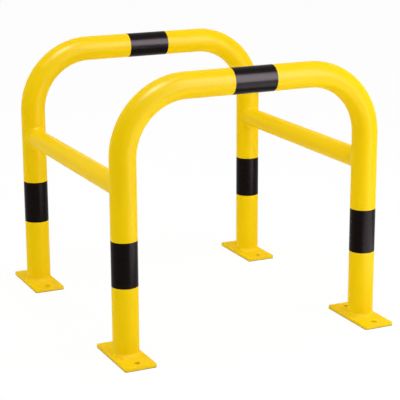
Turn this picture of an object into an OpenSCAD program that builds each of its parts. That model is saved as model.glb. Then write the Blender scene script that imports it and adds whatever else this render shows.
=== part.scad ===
// Column protector: two bent tube hoops joined by two cross tubes, on four base plates.
// X runs along the width of a hoop, Y from the front hoop to the rear hoop, Z is up.
// The origin lies on the floor, in the middle of the space that is kept for the column.
// All sizes are in millimetres.

/* [Hoops] */
// Outer diameter of the hoop tube
hoop_tube_d = 76; // [66:1:80]
// Wall thickness of the hoop tube
hoop_wall = 3; // [2:0.5:6]
// Height from the floor to the top of the hoops
overall_h = 800; // [760:10:1500]
// Distance between the two legs of a hoop, axis to axis
leg_spacing = 770; // [560:10:1500]
// Distance between the two hoops, axis to axis
hoop_spacing = 755; // [400:5:1500]
// Radius of the bends, measured to the tube's axis
bend_r = 190; // [115:5:230]

/* [Cross tubes] */
// Outer diameter of the cross tubes
cross_tube_d = 60; // [40:1:66]
// Wall thickness of the cross tubes
cross_wall = 3; // [2:0.5:6]
// Distance from the lower ends of the hoops' bends down to the cross tubes' axis
cross_drop = 82; // [40:1:150]

/* [Base plates] */
// Width of a plate, along X
plate_w = 95; // [90:1:140]
// Length of a plate, along Y
plate_l = 220; // [190:5:300]
// Thickness of a plate
plate_t = 10; // [5:1:20]
// Radius of a plate's corners
plate_corner_r = 8; // [2:1:20]
// Diameter of an anchor hole
anchor_d = 18; // [9:1:22]
// Distance between the two anchor holes of a plate
anchor_spacing = 160; // [130:5:180]

/* [Welds] */
// Leg length of the fillet weld round a leg's foot
foot_weld = 5; // [3:0.5:7]
// Leg length of the fillet weld round a cross tube's end
saddle_weld = 5; // [3:0.5:7]
// Height of the crown on a saddle weld's face
saddle_crown = 0.6; // [0.2:0.1:1.2]

/* [Marking bands] */
// Width of a marking band, along its tube
band_w = 132; // [60:1:150]
// Thickness of the band film
film_t = 0.3; // [0.1:0.1:1]
// Height of a leg band's middle above the floor
leg_band_h = 279; // [150:1:300]
// Offset of a top band's middle from the middle of its hoop, along X
top_band_shift = 8; // [-40:1:40]

/* [Hidden] */

// Sides of the frame, as signs on X and Y
LEFT = -1;
RIGHT = 1;
FRONT = -1;
REAR = 1;

// Colours of the powder coat, the bare look of a weld under it, and the band film
coat_colour = [0.94, 0.79, 0.06];
weld_colour = [0.88, 0.72, 0.05];
film_colour = [0.08, 0.07, 0.08];

hoop_r = hoop_tube_d / 2;
cross_r = cross_tube_d / 2;
leg_x = leg_spacing / 2;
hoop_y = hoop_spacing / 2;
bar_z = overall_h - hoop_r;
bend_z = bar_z - bend_r;
bar_half = leg_x - bend_r;
// The cross tubes are welded to the straight part of the legs, below the bends
cross_h = bend_z - cross_drop;

// Length by which a cut runs past the face it opens
cut_past = 1;
// Facets of a full circle
$fn = 96;

// Rings along a saddle weld, and points across its face
saddle_rings = 72;
face_steps = 6;
// Share of its width by which a saddle weld's face runs on into each tube, before it is cut back
face_overrun = 0.15;
// Depth of a saddle weld's inner corner inside the tubes, before it is cut back
weld_bite = 2;
// Facets of the tubes that a saddle weld is cut back to, fine enough for a thin bead
seat_facets = 240;

// One hoop as a solid rod of radius r, whose legs start at height foot_z
module hoop_rod(r, foot_z) {
    for (side = [LEFT, RIGHT])
        translate([side * leg_x, 0, foot_z])
            cylinder(h = bend_z - foot_z, r = r);
    for (flip = [0, 1])
        mirror([flip, 0, 0])
            translate([bar_half, 0, bend_z])
                rotate([90, 0, 0])
                    rotate_extrude(angle = 90)
                        translate([bend_r, 0])
                            circle(r = r);
    translate([-bar_half, 0, bar_z])
        rotate([0, 90, 0])
            cylinder(h = 2 * bar_half, r = r);
}

// A hoop bent from one tube, open at its feet
module hoop(end) {
    color(coat_colour)
        translate([0, end * hoop_y, 0])
            difference() {
                hoop_rod(hoop_r, plate_t);
                hoop_rod(hoop_r - hoop_wall, plate_t - cut_past);
            }
}

// The outer surface of the leg at one corner, as a solid
module leg_envelope(side, end) {
    translate([side * leg_x, end * hoop_y, 0])
        cylinder(h = bend_z, r = hoop_r);
}

// A straight rod of radius r between the leg axes of one side
module cross_rod(side, r, past) {
    translate([side * leg_x, hoop_y + past, cross_h])
        rotate([90, 0, 0])
            cylinder(h = hoop_spacing + 2 * past, r = r);
}

// A cross tube, its ends coped to sit on the legs
module cross_tube(side) {
    color(coat_colour)
        difference() {
            cross_rod(side, cross_r, 0);
            cross_rod(side, cross_r - cross_wall, cut_past);
            leg_envelope(side, FRONT);
            leg_envelope(side, REAR);
        }
}

// A rectangle with round corners, centred on the origin
module round_rect(w, l, r) {
    square([w - 2 * r, l], center = true);
    square([w, l - 2 * r], center = true);
    for (x = [-1, 1], y = [-1, 1])
        translate([x * (w / 2 - r), y * (l / 2 - r)])
            circle(r = r);
}

// A base plate under one leg, with an anchor hole on each side of the leg
module base_plate(side, end) {
    color(coat_colour)
        translate([side * leg_x, end * hoop_y, 0])
            difference() {
                linear_extrude(plate_t)
                    round_rect(plate_w, plate_l, plate_corner_r);
                for (y = [-1, 1])
                    translate([0, y * anchor_spacing / 2, -cut_past])
                        cylinder(h = plate_t + 2 * cut_past, d = anchor_d);
            }
}

// Section of a fillet weld in the corner of two faces at right angles, its face slightly crowned
module fillet_section(leg) {
    intersection() {
        square(leg);
        translate([-leg, -leg])
            circle(r = leg * sqrt(5));
    }
}

// The fillet weld round the foot of one leg
module foot_weld_ring(side, end) {
    color(weld_colour)
        translate([side * leg_x, end * hoop_y, plate_t])
            rotate_extrude()
                translate([hoop_r, 0])
                    fillet_section(foot_weld);
}

// A saddle weld follows the curve in which a tube of radius r along Y meets the leg.
// Its points are worked out with the leg's axis on Z, by the angle a round the cross tube.
function saddle(r, a) = [r * cos(a), sqrt(pow(hoop_r, 2) - pow(r * cos(a), 2)), r * sin(a)];

// Share of the weld's leg length that shows on X and Z, since the leg's surface falls away there
function leg_slope(a) = saddle(cross_r, a)[1] / hoop_r;

// Toes of the weld on the cross tube and on the leg
function tube_toe(a) = saddle(cross_r, a) + [0, saddle_weld, 0];
function leg_toe(a) = saddle(cross_r + saddle_weld * leg_slope(a), a);

// Unit vector out of the corner between the two tubes
function unit(v) = v / norm(v);
function outward(a) = unit((tube_toe(a) + leg_toe(a)) / 2 - saddle(cross_r, a));

// A point on the weld's crowned face, where t runs from 0 on the tube to 1 on the leg
function face_point(a, t) =
    tube_toe(a) + t * (leg_toe(a) - tube_toe(a)) + 4 * t * (1 - t) * saddle_crown * outward(a);

// Outline of the weld at one angle: its face, run on into both tubes, and the corner inside them
function weld_outline(a) = concat(
    [for (i = [0 : face_steps]) face_point(a, -face_overrun + i / face_steps * (1 + 2 * face_overrun))],
    [saddle(cross_r, a) - weld_bite * outward(a)]
);

// A closed ring of outlines, each joined to the next by pairs of triangles
module saddle_ring() {
    outlines = [for (k = [0 : saddle_rings - 1]) weld_outline(360 * k / saddle_rings)];
    count = len(outlines[0]);
    points = [for (outline = outlines) each outline];
    faces = [
        for (k = [0 : saddle_rings - 1], i = [0 : count - 1])
            let (
                here = k * count,
                next = (k + 1) % saddle_rings * count,
                j = (i + 1) % count
            )
            each [[here + i, next + j, next + i], [here + i, here + j, next + j]]
    ];
    polyhedron(points = points, faces = faces);
}

// The fillet weld round one end of a cross tube, cut back to the surfaces that it joins
module saddle_weld_ring(side, end) {
    color(weld_colour)
        difference() {
            translate([side * leg_x, end * hoop_y, cross_h])
                mirror([0, end == REAR ? 1 : 0, 0])
                    saddle_ring();
            leg_envelope(side, end, $fn = seat_facets);
            cross_rod(side, cross_r, 0, $fn = seat_facets);
        }
}

// A band of film round a straight tube along Z, centred on the origin
module film_sleeve() {
    color(film_colour)
        difference() {
            cylinder(h = band_w, r = hoop_r + film_t, center = true);
            cylinder(h = band_w + 2 * cut_past, r = hoop_r, center = true);
        }
}

// The marking band on the top bar of one hoop
module top_band(end) {
    translate([top_band_shift, end * hoop_y, bar_z])
        rotate([0, 90, 0])
            film_sleeve();
}

// The marking band on one leg
module leg_band(side, end) {
    translate([side * leg_x, end * hoop_y, leg_band_h])
        film_sleeve();
}

hoop(FRONT);  // front_hoop
hoop(REAR);  // rear_hoop
cross_tube(LEFT);  // left_cross_tube
cross_tube(RIGHT);  // right_cross_tube
base_plate(LEFT, FRONT);  // front_left_base_plate
base_plate(RIGHT, FRONT);  // front_right_base_plate
base_plate(LEFT, REAR);  // rear_left_base_plate
base_plate(RIGHT, REAR);  // rear_right_base_plate
foot_weld_ring(LEFT, FRONT);  // front_left_foot_weld
foot_weld_ring(RIGHT, FRONT);  // front_right_foot_weld
foot_weld_ring(LEFT, REAR);  // rear_left_foot_weld
foot_weld_ring(RIGHT, REAR);  // rear_right_foot_weld
saddle_weld_ring(LEFT, FRONT);  // front_left_saddle_weld
saddle_weld_ring(RIGHT, FRONT);  // front_right_saddle_weld
saddle_weld_ring(LEFT, REAR);  // rear_left_saddle_weld
saddle_weld_ring(RIGHT, REAR);  // rear_right_saddle_weld
top_band(FRONT);  // front_top_band
top_band(REAR);  // rear_top_band
leg_band(LEFT, FRONT);  // front_left_leg_band
leg_band(RIGHT, FRONT);  // front_right_leg_band
leg_band(LEFT, REAR);  // rear_left_leg_band
leg_band(RIGHT, REAR);  // rear_right_leg_band
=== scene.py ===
"""Column protector: coated tubes, weld beads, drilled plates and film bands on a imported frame."""
import math

import bmesh
import bpy
from bpy.props import FloatProperty, FloatVectorProperty, IntProperty, PointerProperty
from mathutils import Matrix, Vector, geometry


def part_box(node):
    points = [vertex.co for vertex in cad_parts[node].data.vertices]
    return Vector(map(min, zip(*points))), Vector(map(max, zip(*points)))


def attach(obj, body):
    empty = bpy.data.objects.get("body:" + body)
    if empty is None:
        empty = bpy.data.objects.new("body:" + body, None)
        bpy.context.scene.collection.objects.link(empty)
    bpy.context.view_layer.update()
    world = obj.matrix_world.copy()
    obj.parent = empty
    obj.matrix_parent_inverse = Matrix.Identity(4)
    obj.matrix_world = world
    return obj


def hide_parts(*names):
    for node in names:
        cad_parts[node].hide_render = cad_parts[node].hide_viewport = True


bl_info = {
    "name": "Column Protector",
    "version": (1, 0, 0),
    "blender": (4, 5, 0),
    "location": "3D View > Sidebar > Guard",
    "description": "Builds a tubular column protector with its coat, welds and marking bands",
    "category": "Add Mesh",
}

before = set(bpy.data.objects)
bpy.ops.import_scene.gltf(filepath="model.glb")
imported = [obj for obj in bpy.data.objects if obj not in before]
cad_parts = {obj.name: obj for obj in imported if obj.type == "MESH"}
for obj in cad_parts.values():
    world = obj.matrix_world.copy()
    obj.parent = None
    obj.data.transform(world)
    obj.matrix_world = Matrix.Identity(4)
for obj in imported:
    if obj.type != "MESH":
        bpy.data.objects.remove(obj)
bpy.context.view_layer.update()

MM = 0.001
QUARTER_TURN = math.pi / 2
FULL_TURN = 2 * math.pi

# Angle between faces above which an edge stays sharp, and the one that leaves no edge sharp
CREASE = math.radians(35)
NO_CREASE = math.pi

# Names of the four corners, with their signs on X and Y
SIDES = {"left": -1, "right": 1}
ENDS = {"front": -1, "rear": 1}


def sized(value):
    """A size read from a meshed solid, rounded to a tenth of a millimetre."""
    return round(value, 4)


def middle(box, axis):
    """The middle of a box along one axis."""
    return sized((box[0][axis] + box[1][axis]) / 2)


def extent(box, axis):
    """The length of a box along one axis."""
    return sized(box[1][axis] - box[0][axis])


hoop_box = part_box("front_hoop")
cross_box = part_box("left_cross_tube")
plate_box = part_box("front_left_base_plate")
leg_band_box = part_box("front_left_leg_band")
top_band_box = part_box("front_top_band")

# Sizes and places of the tubes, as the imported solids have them
LEG_X = -middle(cross_box, 0)
TUBE_R = sized(hoop_box[1].x - LEG_X)
HOOP_Y = -middle(hoop_box, 1)
FOOT_Z = sized(hoop_box[0].z)
BAR_Z = sized(hoop_box[1].z) - TUBE_R
CROSS_R = extent(cross_box, 0) / 2
CROSS_Z = middle(cross_box, 2)


class TubeSizes(bpy.types.PropertyGroup):
    """Sizes of the bent and straight tubes."""

    bend_radius: FloatProperty(
        name="Bend radius", description="Radius of a hoop's bends, to the tube's axis",
        default=0.190, min=0.1, unit="LENGTH")
    wall: FloatProperty(
        name="Tube wall", description="Wall thickness of the tubes",
        default=0.003, min=0.001, unit="LENGTH")
    facets: IntProperty(
        name="Facets", description="Facets round a tube", default=96, min=24)
    bend_steps: IntProperty(
        name="Bend steps", description="Rings of faces along a quarter bend", default=48, min=8)


class PlateSizes(bpy.types.PropertyGroup):
    """Sizes of the base plates."""

    corner_radius: FloatProperty(
        name="Corner radius", description="Radius of a plate's corners",
        default=0.005, min=0.001, unit="LENGTH")
    edge_radius: FloatProperty(
        name="Edge radius", description="Radius that the coat leaves on a plate's edges",
        default=0.0008, min=0.0, unit="LENGTH")
    hole_diameter: FloatProperty(
        name="Hole diameter", description="Diameter of an anchor hole",
        default=0.018, min=0.004, unit="LENGTH")
    hole_spacing: FloatProperty(
        name="Hole spacing", description="Distance between the two holes of a plate",
        default=0.160, min=0.1, unit="LENGTH")


class WeldSizes(bpy.types.PropertyGroup):
    """Sizes of the weld beads."""

    pitch: FloatProperty(
        name="Ripple pitch", description="Distance between the ripples of a bead",
        default=0.0042, min=0.001, unit="LENGTH")
    ripple: FloatProperty(
        name="Ripple height", description="Height of a ripple under the coat",
        default=0.00015, min=0.0, unit="LENGTH")
    leg: FloatProperty(
        name="Leg length", description="How far a bead reaches out from its tube",
        default=0.0078, min=0.002, unit="LENGTH")
    foot_rise: FloatProperty(
        name="Foot weld height", description="How far a foot weld runs up its leg",
        default=0.0115, min=0.002, unit="LENGTH")
    foot_crown: FloatProperty(
        name="Foot weld crown", description="Height of a foot weld's crown over its soft face",
        default=0.0004, min=0.0, unit="LENGTH")
    saddle_crown: FloatProperty(
        name="Saddle weld crown", description="Height of a saddle weld's crown over its soft face",
        default=0.0016, min=0.0, unit="LENGTH")
    softness: FloatProperty(
        name="Toe softness", description="Share of a bead's leg over which its toes run out",
        default=0.22, min=0.0, max=1.0, subtype="FACTOR")


class CoatLook(bpy.types.PropertyGroup):
    """Look of the powder coat."""

    colour: FloatVectorProperty(
        name="Coat colour", description="Colour of the powder coat",
        default=(0.89, 0.597, 0.001), min=0.0, max=1.0, subtype="COLOR")
    roughness: FloatProperty(
        name="Coat roughness", description="Mean roughness of the powder coat",
        default=0.34, min=0.0, max=1.0, subtype="FACTOR")
    gloss: FloatProperty(
        name="Coat gloss", description="Specular level of the powder coat",
        default=0.03, min=0.0, max=1.0, subtype="FACTOR")
    peel_size: FloatProperty(
        name="Orange peel size", description="Width of the coat's shallow dimples",
        default=0.004, min=0.0005, unit="LENGTH")
    peel_depth: FloatProperty(
        name="Orange peel depth", description="Depth of the coat's shallow dimples",
        default=0.0000015, min=0.0, unit="LENGTH")
    # The next two set the dark uneven band at the plates' feet, which is partly painted contact shade
    # and partly dirt
    painted_shade_and_dirt_height: FloatProperty(
        name="Dirt height", description="How far dirt reaches up the plates' edges",
        default=0.003, min=0.0, unit="LENGTH")
    painted_shade_and_dirt_colour: FloatVectorProperty(
        name="Dirt colour", description="Colour of the dirt along the floor",
        default=(0.12, 0.08, 0.01), min=0.0, max=1.0, subtype="COLOR")


class BandLook(bpy.types.PropertyGroup):
    """Look and overlap of the marking film."""

    colour: FloatVectorProperty(
        name="Film colour", description="Colour of the marking film",
        default=(0.0045, 0.0027, 0.0020), min=0.0, max=1.0, subtype="COLOR")
    roughness: FloatProperty(
        name="Film roughness", description="Mean roughness of the marking film",
        default=0.27, min=0.0, max=1.0, subtype="FACTOR")
    gloss: FloatProperty(
        name="Film gloss", description="Specular level of the marking film",
        default=0.04, min=0.0, max=1.0, subtype="FACTOR")
    gloss_tint: FloatVectorProperty(
        name="Film gloss tint", description="Tint of what the marking film reflects",
        default=(1.0, 0.87, 1.0), min=0.0, max=1.0, subtype="COLOR")
    overlap: FloatProperty(
        name="Overlap", description="Width of the seam where a band's ends overlap",
        default=0.014, min=0.0, unit="LENGTH")


class StageLook(bpy.types.PropertyGroup):
    """Light, floor and camera."""

    ambient: FloatProperty(
        name="Ambient light", description="Strength of the even light from all round",
        default=0.70, min=0.0)
    key: FloatProperty(
        name="Key brightness", description="Brightness of the large lamp in front on the right",
        default=3.6, min=0.0)
    top: FloatProperty(
        name="Top brightness", description="Brightness of the lamp overhead",
        default=5.1, min=0.0)
    back: FloatProperty(
        name="Back brightness", description="Brightness of the lamp behind on the left",
        default=1.2, min=0.0)
    panel: FloatProperty(
        name="Panel brightness", description="Brightness of the tall panel that the gloss shows",
        default=70.0, min=0.0)
    apron: FloatProperty(
        name="Apron brightness", description="Brightness of the floor in front that the gloss shows",
        default=10.0, min=0.0)
    glint: FloatProperty(
        name="Glint brightness", description="Brightness of the high panel that the left bends show",
        default=370.0, min=0.0)
    shadow: FloatProperty(
        name="Floor shadow", description="Share of the floor's colour that takes shadows",
        default=0.08, min=0.0, max=1.0, subtype="FACTOR")


class GuardSettings(bpy.types.PropertyGroup):
    """All settings of the column protector."""

    tubes: PointerProperty(type=TubeSizes)
    plates: PointerProperty(type=PlateSizes)
    welds: PointerProperty(type=WeldSizes)
    coat: PointerProperty(type=CoatLook)
    bands: PointerProperty(type=BandLook)
    stage: PointerProperty(type=StageLook)


def settings():
    """The settings of the current scene."""
    return bpy.context.scene.guard_settings


class Wire:
    """A shader socket's output. An expression on wires and numbers adds the Math nodes for it."""

    def __init__(self, tree, socket):
        self.tree = tree
        self.socket = socket

    def math(self, operation, first, second):
        return self.tree.node(
            "ShaderNodeMath", {"operation": operation}, {0: first, 1: second})

    def __add__(self, other):
        return self.math("ADD", self, other)

    def __radd__(self, other):
        return self.math("ADD", other, self)

    def __sub__(self, other):
        return self.math("SUBTRACT", self, other)

    def __rsub__(self, other):
        return self.math("SUBTRACT", other, self)

    def __mul__(self, other):
        return self.math("MULTIPLY", self, other)

    def __rmul__(self, other):
        return self.math("MULTIPLY", other, self)

    def __or__(self, other):
        return self.math("MAXIMUM", self, other)


# Numbers of a Mix node's two colour inputs and its colour output
MIX_FIRST = 6
MIX_SECOND = 7
MIX_RESULT = 2


class ShaderTree:
    """The node tree of a material or world, where one method makes every kind of node."""

    def __init__(self, owner):
        owner.use_nodes = True
        self.tree = owner.node_tree
        self.tree.nodes.clear()

    def node(self, kind, options=None, values=None, output=0):
        """Makes a node, sets its options, then its sockets' values or links, and returns an output."""
        made = self.tree.nodes.new(kind)
        for name, value in (options or {}).items():
            setattr(made, name, value)
        for name, value in (values or {}).items():
            if isinstance(value, Wire):
                self.tree.links.new(value.socket, made.inputs[name])
            else:
                made.inputs[name].default_value = value
        return Wire(self, made.outputs[output])

    def end(self, kind, shader):
        """Ends the tree in its output node."""
        made = self.tree.nodes.new(kind)
        self.tree.links.new(shader.socket, made.inputs["Surface"])

    def place(self):
        """The object's own coordinates, in metres."""
        return self.node("ShaderNodeTexCoord", output="Object")

    def noise(self, place, width, detail):
        """Noise from 0 to 1 whose blotches are about as wide as stated."""
        return self.node(
            "ShaderNodeTexNoise", {"noise_dimensions": "3D"},
            {"Vector": place, "Scale": 1 / width, "Detail": detail, "Roughness": 0.5})

    def mix_colour(self, share, first, second):
        """A colour between two others, each a wire or three numbers."""
        colours = [
            colour if isinstance(colour, Wire) else (*colour, 1.0) for colour in (first, second)]
        return self.node(
            "ShaderNodeMix", {"data_type": "RGBA"},
            {"Factor": share, MIX_FIRST: colours[0], MIX_SECOND: colours[1]}, output=MIX_RESULT)

    def bump(self, height):
        """The normal of a surface with dimples of that height in metres."""
        return self.node(
            "ShaderNodeBump", values={"Height": height, "Strength": 1.0, "Distance": 1.0})


def shades(colour, factors):
    """A colour made lighter or darker by each of some factors."""
    return [tuple(min(1.0, channel * factor) for channel in colour) for factor in factors]


# How strongly the painted contact shade and dirt along the floor cover the coat, the share of their
# height over which they stay full, and the width of their waves
PAINTED_SHADE_AND_DIRT_COVER = 0.85
PAINTED_SHADE_AND_DIRT_FULL = 0.3
PAINTED_SHADE_AND_DIRT_WIDTH = 30 * MM


def painted_shade_and_soiled(tree, place, colour):
    """A colour with a dark uneven line along the floor: partly painted contact shade, partly dirt."""
    look = settings().coat
    height = tree.node("ShaderNodeSeparateXYZ", values={"Vector": place}, output="Z")
    reach = look.painted_shade_and_dirt_height * (0.5 + tree.noise(place, PAINTED_SHADE_AND_DIRT_WIDTH, detail=3.0))
    share = tree.node("ShaderNodeMapRange", {"interpolation_type": "SMOOTHSTEP"}, {
        "Value": height, "From Min": reach, "From Max": reach * PAINTED_SHADE_AND_DIRT_FULL,
        "To Min": 0.0, "To Max": PAINTED_SHADE_AND_DIRT_COVER})
    return tree.mix_colour(share, colour, look.painted_shade_and_dirt_colour)


# Widths of the coat's clouds, specks and lumps, the clouds' share of the tone, the darkest and
# lightest shades, and how far a cloud or a speck changes the roughness
CLOUD_WIDTH = 220 * MM
SPECK_WIDTH = 11 * MM
LUMP_WIDTH = 20 * MM
CLOUD_SHARE = 0.75
COAT_SHADES = (0.965, 1.035)
COAT_ROUGHNESS_SPREAD = 0.03


def coat_material(name, lump_height=0.0, dull=0.0, on_floor=False):
    """Yellow powder coat over steel, with the height of the lumps under it and its added roughness."""
    look = settings().coat
    material = bpy.data.materials.new(name)
    tree = ShaderTree(material)
    place = tree.place()
    cloud = tree.noise(place, CLOUD_WIDTH, detail=3.0)
    peel = tree.noise(place, look.peel_size, detail=2.0)
    speck = tree.noise(place, SPECK_WIDTH, detail=4.0)
    lump = tree.noise(place, LUMP_WIDTH, detail=1.0)
    tone = cloud * CLOUD_SHARE + speck * (1 - CLOUD_SHARE)
    colour = tree.mix_colour(tone, *shades(look.colour, COAT_SHADES))
    # The plates' bottom edges get darker towards the floor: partly painted contact shade, partly dirt
    if on_floor:
        colour = painted_shade_and_soiled(tree, place, colour)
    smoothest = look.roughness + dull - COAT_ROUGHNESS_SPREAD
    surface = tree.node("ShaderNodeBsdfPrincipled", values={
        "Base Color": colour,
        "Roughness": (speck + cloud) * COAT_ROUGHNESS_SPREAD + smoothest,
        "Normal": tree.bump(peel * look.peel_depth + lump * lump_height),
        "Specular IOR Level": look.gloss,
    })
    tree.end("ShaderNodeOutputMaterial", surface)
    return material


# Widths of the film's waves, grain and rubbed spots, the heights of the first two, the darkest and
# lightest shades, and how far the rubbed spots change the roughness
WAVE_WIDTH = 30 * MM
GRAIN_WIDTH = 1.5 * MM
RUB_WIDTH = 12 * MM
WAVE_HEIGHT = 0.04 * MM
GRAIN_HEIGHT = 0.0005 * MM
FILM_SHADES = (0.8, 1.3)
FILM_ROUGHNESS_SPREAD = 0.04


def film_material():
    """Glossy black marking film, with faint waves where it was smoothed on."""
    look = settings().bands
    material = bpy.data.materials.new("marking_film")
    tree = ShaderTree(material)
    place = tree.place()
    wave = tree.noise(place, WAVE_WIDTH, detail=2.0)
    grain = tree.noise(place, GRAIN_WIDTH, detail=2.0)
    rub = tree.noise(place, RUB_WIDTH, detail=5.0)
    smoothest = look.roughness - FILM_ROUGHNESS_SPREAD
    surface = tree.node("ShaderNodeBsdfPrincipled", values={
        "Base Color": tree.mix_colour(rub, *shades(look.colour, FILM_SHADES)),
        "Roughness": rub * (2 * FILM_ROUGHNESS_SPREAD) + smoothest,
        "Normal": tree.bump(wave * WAVE_HEIGHT + grain * GRAIN_HEIGHT),
        "Specular IOR Level": look.gloss,
        "Specular Tint": (*look.gloss_tint, 1.0),
    })
    tree.end("ShaderNodeOutputMaterial", surface)
    return material


def in_kind(elements, kind):
    """The elements of one kind among a bmesh operator's results."""
    return [element for element in elements if isinstance(element, kind)]


def edges_of(verts):
    """The edges between a set of vertices."""
    return list({edge for vert in verts for edge in vert.link_edges})


def parts_of(faces):
    """Faces with their edges and vertices, as the spin operator takes them."""
    edges = {edge for face in faces for edge in face.edges}
    verts = {vert for face in faces for vert in face.verts}
    return [*verts, *edges, *faces]


def ring_section(bm, outer, wall, facets, place):
    """A flat ring, the section of a tube, in the XY plane of the given place."""
    rims = [
        edge for radius in (outer, outer - wall)
        for edge in edges_of(bmesh.ops.create_circle(
            bm, segments=facets, radius=radius, matrix=place)["verts"])
    ]
    return bmesh.ops.bridge_loops(bm, edges=rims)["faces"]


def push(bm, faces, shift):
    """Extrudes faces by a vector and returns the faces at the new end."""
    made = bmesh.ops.extrude_face_region(bm, geom=faces)["geom"]
    bmesh.ops.translate(bm, verts=in_kind(made, bmesh.types.BMVert), vec=shift)
    return in_kind(made, bmesh.types.BMFace)


def bend(bm, faces, centre, steps):
    """Spins faces a quarter turn about Y, round a centre, and returns the faces at the new end."""
    made = bmesh.ops.spin(
        bm, geom=parts_of(faces), cent=centre, axis=(0, 1, 0), angle=QUARTER_TURN, steps=steps)
    return in_kind(made["geom_last"], bmesh.types.BMFace)


def piece(name, node, bm, material, crease=CREASE):
    """Turns a bmesh into the finished piece that stands for one node of the frame."""
    bmesh.ops.recalc_face_normals(bm, faces=bm.faces)
    mesh = bpy.data.meshes.new(name)
    bm.to_mesh(mesh)
    bm.free()
    mesh.shade_smooth()
    mesh.set_sharp_from_angle(angle=crease)
    mesh.materials.append(material)
    made = bpy.data.objects.new(name, mesh)
    bpy.context.scene.collection.objects.link(made)
    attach(made, "root")
    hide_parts(node)
    return made


# Faces across a rounded edge, and the angle between faces above which an edge is rounded
EDGE_STEPS = 3
EDGE_ANGLE = math.radians(50)


def round_edges(made, radius):
    """Rounds the sharp edges of a piece."""
    bevel = made.modifiers.new("rounded_edges", "BEVEL")
    bevel.width = radius
    bevel.segments = EDGE_STEPS
    bevel.limit_method = "ANGLE"
    bevel.angle_limit = EDGE_ANGLE
    bevel.harden_normals = True


def hoop_mesh(end):
    """A hoop: up one leg, round a bend, along the top bar and down again."""
    sizes = settings().tubes
    bend_z = BAR_Z - sizes.bend_radius
    bar_half = LEG_X - sizes.bend_radius
    y = end * HOOP_Y
    bm = bmesh.new()
    section = ring_section(
        bm, TUBE_R, sizes.wall, sizes.facets, Matrix.Translation((-LEG_X, y, FOOT_Z)))
    section = push(bm, section, (0, 0, bend_z - FOOT_Z))
    section = bend(bm, section, (-bar_half, y, bend_z), sizes.bend_steps)
    section = push(bm, section, (2 * bar_half, 0, 0))
    section = bend(bm, section, (bar_half, y, bend_z), sizes.bend_steps)
    push(bm, section, (0, 0, FOOT_Z - bend_z))
    return bm


def leg_surface(x):
    """Distance in Y from a leg's axis plane to its surface, at a distance x beside the axis."""
    return math.sqrt(TUBE_R ** 2 - x ** 2)


def cross_tube_mesh(side):
    """A cross tube whose ends are coped to the round of the legs."""
    sizes = settings().tubes
    bm = bmesh.new()
    place = Matrix.Translation((side * LEG_X, 0, CROSS_Z)) @ Matrix.Rotation(QUARTER_TURN, 4, "X")
    section = ring_section(bm, CROSS_R, sizes.wall, sizes.facets, place)
    for vert in bm.verts:
        vert.co.y = -HOOP_Y
    push(bm, section, (0, 2 * HOOP_Y, 0))
    for vert in bm.verts:
        reach = HOOP_Y - leg_surface(vert.co.x - side * LEG_X)
        vert.co.y = math.copysign(reach, vert.co.y)
    return bm


# Faces round a plate's corner and round a hole
CORNER_STEPS = 8
HOLE_FACETS = 48


def base_plate_mesh(side, end):
    """A flat plate with round corners and two drilled holes."""
    sizes = settings().plates
    width, length, thickness = (extent(plate_box, axis) for axis in range(3))
    bm = bmesh.new()
    bmesh.ops.create_grid(bm, x_segments=1, y_segments=1, size=0.5)
    bmesh.ops.scale(bm, verts=bm.verts, vec=(width, length, 1))
    bmesh.ops.bevel(
        bm, geom=list(bm.verts), offset=sizes.corner_radius, offset_type="OFFSET",
        segments=CORNER_STEPS, profile=0.5, affect="VERTICES", material=-1)
    bmesh.ops.delete(bm, geom=list(bm.faces), context="FACES_ONLY")
    for y in (-sizes.hole_spacing / 2, sizes.hole_spacing / 2):
        bmesh.ops.create_circle(
            bm, segments=HOLE_FACETS, radius=sizes.hole_diameter / 2,
            matrix=Matrix.Translation((0, y, 0)))
    bmesh.ops.triangle_fill(bm, use_beauty=True, use_dissolve=False, edges=bm.edges, normal=(0, 0, 1))
    push(bm, list(bm.faces), (0, 0, thickness))
    bmesh.ops.translate(bm, verts=bm.verts, vec=(side * LEG_X, end * HOOP_Y, 0))
    return bm


# How deep a bead's back lies in the steel, so that no gap opens behind it
SINK = 0.1 * MM

# Points across a bead's face, and faces along one ripple
FACE_POINTS = 9
RIPPLE_STEPS = 6

# How far the middle of a ripple runs ahead of its ends, in radians, and how full its valleys are
RIPPLE_BOW = 1.1
VALLEY_FILL = 0.02


def ripples(turn, across, length):
    """Height from 0 to 1 of a bead's ripples, at an angle round it and a share across its face."""
    count = round(length / settings().welds.pitch)
    bow = math.sin(math.pi * across)
    wave = abs(math.cos(count * turn / 2 + RIPPLE_BOW * bow))
    return bow * math.sqrt(wave * wave + VALLEY_FILL)


def bead_profile(radius, rise, crown):
    """The section of a bead: its inner corner, then its face, as distances out and up."""
    leg = settings().welds.leg
    pull = 1 - settings().welds.softness
    curve = geometry.interpolate_bezier(
        (leg, 0), (leg * pull, 0), (0, rise * pull), (0, rise), FACE_POINTS)
    points = [(radius - SINK, -SINK)]
    for i, point in enumerate(curve):
        lift = crown * math.sin(math.pi * i / (FACE_POINTS - 1))
        points.append((radius - SINK + point.x + lift, point.y - SINK + lift))
    return points


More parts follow.
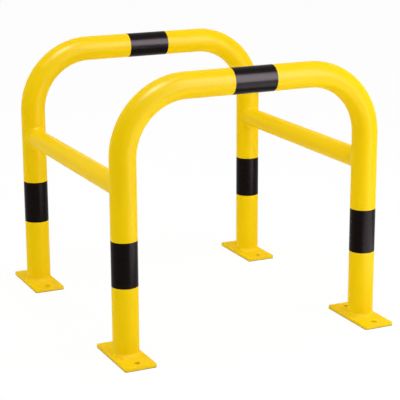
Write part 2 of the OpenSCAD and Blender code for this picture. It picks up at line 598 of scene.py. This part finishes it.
def bead_mesh(radius, rise, crown):
    """A rippled fillet bead round Z, in the corner of a tube of that radius and the plane Z = 0."""
    sizes = settings().welds
    length = FULL_TURN * (radius + sizes.leg / 2)
    bm = bmesh.new()
    outline = [bm.verts.new((out, 0, up)) for out, up in bead_profile(radius, rise, crown)]
    edges = [bm.edges.new(pair) for pair in zip(outline, outline[1:] + outline[:1])]
    bmesh.ops.spin(
        bm, geom=[*outline, *edges], cent=(0, 0, 0), axis=(0, 0, 1), angle=FULL_TURN,
        steps=RIPPLE_STEPS * round(length / sizes.pitch), use_merge=True)
    for vert in bm.verts:
        out = Vector((vert.co.x, vert.co.y, 0))
        reach = out.length - (radius - SINK)
        height = vert.co.z + SINK
        if reach + height > SINK:
            across = math.atan2(height, reach) / QUARTER_TURN
            turn = math.atan2(vert.co.y, vert.co.x)
            lift = sizes.ripple * ripples(turn, across, length)
            vert.co += (out.normalized() + Vector((0, 0, 1))) * lift / math.sqrt(2)
    return bm


def foot_weld_mesh(side, end):
    """The bead round the foot of one leg, on its plate."""
    sizes = settings().welds
    bm = bead_mesh(TUBE_R, sizes.foot_rise, sizes.foot_crown)
    bmesh.ops.translate(bm, verts=bm.verts, vec=(side * LEG_X, end * HOOP_Y, FOOT_Z))
    return bm


def saddle_weld_mesh(side, end):
    """The bead round one end of a cross tube, bowed to follow the leg's round surface."""
    sizes = settings().welds
    bm = bead_mesh(CROSS_R, sizes.leg, sizes.saddle_crown)
    for vert in bm.verts:
        across, up, along = vert.co.x, vert.co.y, vert.co.z
        reach = math.hypot(across, up)
        slope = leg_surface(CROSS_R * across / reach) / TUBE_R
        shrink = (CROSS_R + (reach - CROSS_R) * slope) / reach
        across, up = across * shrink, up * shrink
        depth = leg_surface(across) + along
        vert.co = (side * LEG_X + across, end * (HOOP_Y - depth), CROSS_Z + up)
    return bm


# How far the film's inner face stands off the coat, so that the two never share a surface
FILM_GAP = 0.02 * MM


def sleeve_mesh(box, seam):
    """A film sleeve round Z of a band's width, centred on the origin; its ends overlap towards seam."""
    width = max(extent(box, axis) for axis in range(3))
    layers = min(extent(box, axis) for axis in range(3)) / 2 - TUBE_R
    film = layers / 2
    facets = settings().tubes.facets * 2
    bm = bmesh.new()
    section = ring_section(
        bm, TUBE_R + film, film - FILM_GAP, facets, Matrix.Translation((0, 0, -width / 2)))
    push(bm, section, (0, 0, width))
    half_seam = settings().bands.overlap / 2 / TUBE_R
    for vert in bm.verts:
        out = Vector((vert.co.x, vert.co.y))
        if out.length > TUBE_R + film / 2 and abs(out.angle_signed(seam)) < half_seam:
            out = out.normalized() * (TUBE_R + layers)
            vert.co.x, vert.co.y = out
    return bm


class GUARD_OT_hoops(bpy.types.Operator):
    """Build the two bent hoops"""

    bl_idname = "guard.hoops"
    bl_label = "Hoops"

    def execute(self, context):
        material = coat_material("hoop_coat")
        for end_name, end in ENDS.items():
            piece(f"coated_{end_name}_hoop", f"{end_name}_hoop", hoop_mesh(end), material)
        return {"FINISHED"}


class GUARD_OT_cross_tubes(bpy.types.Operator):
    """Build the two coped cross tubes"""

    bl_idname = "guard.cross_tubes"
    bl_label = "Cross tubes"

    def execute(self, context):
        material = coat_material("cross_tube_coat")
        for side_name, side in SIDES.items():
            node = f"{side_name}_cross_tube"
            piece(f"coated_{node}", node, cross_tube_mesh(side), material)
        return {"FINISHED"}


def corners():
    """The name, side and end of each corner of the frame."""
    return [
        (f"{end_name}_{side_name}", side, end)
        for end_name, end in ENDS.items() for side_name, side in SIDES.items()
    ]


class GUARD_OT_base_plates(bpy.types.Operator):
    """Build the four drilled base plates"""

    bl_idname = "guard.base_plates"
    bl_label = "Base plates"

    def execute(self, context):
        # on_floor paints contact shade and dirt along the plates' bottom edges
        material = coat_material("plate_coat", lump_height=0.03 * MM, dull=0.22, on_floor=True)
        for corner, side, end in corners():
            node = f"{corner}_base_plate"
            made = piece(f"coated_{node}", node, base_plate_mesh(side, end), material)
            round_edges(made, settings().plates.edge_radius)
        return {"FINISHED"}


class GUARD_OT_welds(bpy.types.Operator):
    """Build the weld beads round the feet and the cross tubes' ends"""

    bl_idname = "guard.welds"
    bl_label = "Welds"

    def execute(self, context):
        foot_coat = coat_material("foot_weld_coat", lump_height=0.05 * MM, dull=0.3)
        saddle_coat = coat_material("saddle_weld_coat", lump_height=0.05 * MM)
        kinds = {
            "foot_weld": (foot_weld_mesh, foot_coat),
            "saddle_weld": (saddle_weld_mesh, saddle_coat),
        }
        for corner, side, end in corners():
            for kind, (make, material) in kinds.items():
                node = f"{corner}_{kind}"
                piece(f"coated_{node}", node, make(side, end), material, NO_CREASE)
        return {"FINISHED"}


class GUARD_OT_bands(bpy.types.Operator):
    """Build the marking bands of black film"""

    bl_idname = "guard.bands"
    bl_label = "Marking bands"

    def execute(self, context):
        material = film_material()
        for corner, side, end in corners():
            bm = sleeve_mesh(leg_band_box, Vector((0, 1)))
            place = (side * LEG_X, end * HOOP_Y, middle(leg_band_box, 2))
            bmesh.ops.translate(bm, verts=bm.verts, vec=place)
            piece(f"film_{corner}_leg_band", f"{corner}_leg_band", bm, material)
        for end_name, end in ENDS.items():
            bm = sleeve_mesh(top_band_box, Vector((1, 0)))
            bmesh.ops.rotate(bm, verts=bm.verts, matrix=Matrix.Rotation(QUARTER_TURN, 3, "Y"))
            place = (middle(top_band_box, 0), end * HOOP_Y, BAR_Z)
            bmesh.ops.translate(bm, verts=bm.verts, vec=place)
            piece(f"film_{end_name}_top_band", f"{end_name}_top_band", bm, material)
        return {"FINISHED"}


def seen_white(tree):
    """A mask that is 1 for what the camera, gloss or glass sees, and 0 for the light itself."""
    camera = tree.node("ShaderNodeLightPath", output="Is Camera Ray")
    glossy = tree.node("ShaderNodeLightPath", output="Is Glossy Ray")
    through = tree.node("ShaderNodeLightPath", output="Is Transmission Ray")
    return camera | glossy | through


def make_world():
    """Even light, with a white background for the camera and for gloss."""
    look = settings().stage
    world = bpy.data.worlds.new("studio")
    bpy.context.scene.world = world
    tree = ShaderTree(world)
    strength = seen_white(tree) * (1 - look.ambient) + look.ambient
    light = tree.node("ShaderNodeBackground", values={"Color": (1, 1, 1, 1), "Strength": strength})
    tree.end("ShaderNodeOutputWorld", light)


# Half the floor's width, how far it lies under the feet and the width of its blotches, in metres, and
# its darkest and lightest shades of white
FLOOR_REACH = 30
FLOOR_DROP = 0.2 * MM
FLOOR_BLOTCH = 0.6
FLOOR_SHADES = (0.94, 0.96)


def make_floor():
    """A wide pale floor that looks white but keeps the object's shadow."""
    look = settings().stage
    bm = bmesh.new()
    bmesh.ops.create_grid(bm, x_segments=8, y_segments=8, size=FLOOR_REACH)
    bmesh.ops.translate(bm, verts=bm.verts, vec=(0, 0, -FLOOR_DROP))
    mesh = bpy.data.meshes.new("floor")
    bm.to_mesh(mesh)
    bm.free()
    floor = bpy.data.objects.new("floor", mesh)
    bpy.context.scene.collection.objects.link(floor)
    material = bpy.data.materials.new("studio_floor")
    mesh.materials.append(material)
    tree = ShaderTree(material)
    tone = tree.noise(tree.place(), FLOOR_BLOTCH, detail=3.0)
    colour = tree.mix_colour(tone, *shades((1, 1, 1), FLOOR_SHADES))
    matt = tree.node("ShaderNodeBsdfDiffuse", values={"Color": colour})
    white = tree.node("ShaderNodeEmission", values={"Color": (1, 1, 1, 1), "Strength": 1.0})
    share = seen_white(tree) * (1 - look.shadow)
    surface = tree.node("ShaderNodeMixShader", values={0: share, 1: matt, 2: white})
    tree.end("ShaderNodeOutputMaterial", surface)


# Each lamp's azimuth and height angle in degrees, seen from the object's middle, its width and
# height, and its distance in metres. Azimuth 0 is straight in front, and to the right is positive.
LAMPS = {
    "key": (40, 20, 1.1, 1.0, 2.2),
    "top": (0, 85, 2.2, 2.2, 5.0),
    "back": (-125, 30, 2.4, 2.2, 5.0),
    "panel": (26, 24, 1.5, 5.2, 5.0),
    "glint": (-38, 67, 1.7, 1.0, 5.0),
}

# A bright patch of floor in front on the right: its azimuth in degrees, and its distance, width,
# length and height above the floor in metres
APRON = (32, 2.2, 1.3, 2.6, 0.01)

# Lamps that stand for bright panels and for the bright patch of floor, which only the gloss shows
GLOSS_ONLY = ("panel", "glint", "apron")


def add_lamp(name, width, height):
    """A soft lamp, set by its brightness, so that its size does not change it."""
    lamp = bpy.data.lights.new(name, "AREA")
    lamp.shape = "RECTANGLE"
    lamp.size = width
    lamp.size_y = height
    lamp.energy = getattr(settings().stage, name) * math.pi * width * height
    made = bpy.data.objects.new(name, lamp)
    bpy.context.scene.collection.objects.link(made)
    made.visible_diffuse = name not in GLOSS_ONLY
    return made


def make_lamps():
    """The lamps round the object, each turned towards its middle."""
    target = Vector((0, 0, BAR_Z / 2))
    for name, (azimuth, rise, width, height, distance) in LAMPS.items():
        made = add_lamp(name, width, height)
        turn, lift = math.radians(azimuth), math.radians(rise)
        away = Vector((
            math.sin(turn) * math.cos(lift), -math.cos(turn) * math.cos(lift), math.sin(lift)))
        made.location = target + away * distance
        made.rotation_euler = away.to_track_quat("Z", "Y").to_euler()


def make_apron():
    """The bright patch of floor, which shines straight up."""
    azimuth, distance, width, length, rise = APRON
    made = add_lamp("apron", width, length)
    turn = math.radians(azimuth)
    made.location = (math.sin(turn) * distance, -math.cos(turn) * distance, rise)
    made.rotation_euler = (math.pi, 0, turn)


# Where the camera stands in metres, how it is turned in degrees, and its lens and sensor in
# millimetres
CAMERA_PLACE = Vector((-1.7577, -3.7857, 1.4329))
CAMERA_AZIMUTH = -25.22
CAMERA_DOWN = 14.885
CAMERA_ROLL = -0.274
CAMERA_LENS = 124.67
SENSOR_WIDTH = 36


def make_camera():
    """The camera at the photograph's viewpoint."""
    camera = bpy.data.cameras.new("camera")
    camera.lens = CAMERA_LENS
    camera.sensor_width = SENSOR_WIDTH
    made = bpy.data.objects.new("camera", camera)
    bpy.context.scene.collection.objects.link(made)
    bpy.context.scene.camera = made
    turn = Matrix.Rotation(math.radians(CAMERA_AZIMUTH), 4, "Z")
    tilt = Matrix.Rotation(math.radians(90 - CAMERA_DOWN), 4, "X")
    roll = Matrix.Rotation(math.radians(CAMERA_ROLL), 4, "Z")
    made.matrix_world = Matrix.Translation(CAMERA_PLACE) @ turn @ tilt @ roll


class GUARD_OT_stage(bpy.types.Operator):
    """Build the floor, the light and the camera"""

    bl_idname = "guard.stage"
    bl_label = "Stage"

    def execute(self, context):
        context.scene.view_settings.view_transform = "Standard"
        make_world()
        make_floor()
        make_lamps()
        make_apron()
        make_camera()
        return {"FINISHED"}


class GUARD_PT_panel(bpy.types.Panel):
    """The sidebar panel that lists the operators and their settings"""

    bl_idname = "GUARD_PT_panel"
    bl_label = "Column Protector"
    bl_space_type = "VIEW_3D"
    bl_region_type = "UI"
    bl_category = "Guard"

    def draw(self, context):
        for operator in OPERATORS:
            self.layout.operator(operator.bl_idname)
        guard = context.scene.guard_settings
        for group in (guard.tubes, guard.plates, guard.welds, guard.coat, guard.bands, guard.stage):
            box = self.layout.box()
            for name in group.bl_rna.properties.keys():
                if name not in ("rna_type", "name"):
                    box.prop(group, name)


GROUPS = (TubeSizes, PlateSizes, WeldSizes, CoatLook, BandLook, StageLook, GuardSettings)
OPERATORS = (
    GUARD_OT_stage, GUARD_OT_hoops, GUARD_OT_cross_tubes, GUARD_OT_base_plates, GUARD_OT_welds,
    GUARD_OT_bands)
CLASSES = (*GROUPS, *OPERATORS, GUARD_PT_panel)


def register():
    for cls in CLASSES:
        bpy.utils.register_class(cls)
    bpy.types.Scene.guard_settings = PointerProperty(type=GuardSettings)


def unregister():
    del bpy.types.Scene.guard_settings
    for cls in reversed(CLASSES):
        bpy.utils.unregister_class(cls)


def main():
    """Registers the add-on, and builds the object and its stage."""
    register()
    bpy.ops.guard.stage()
    bpy.ops.guard.hoops()
    bpy.ops.guard.cross_tubes()
    bpy.ops.guard.base_plates()
    bpy.ops.guard.welds()
    bpy.ops.guard.bands()


if __name__ == "__main__":
    main()
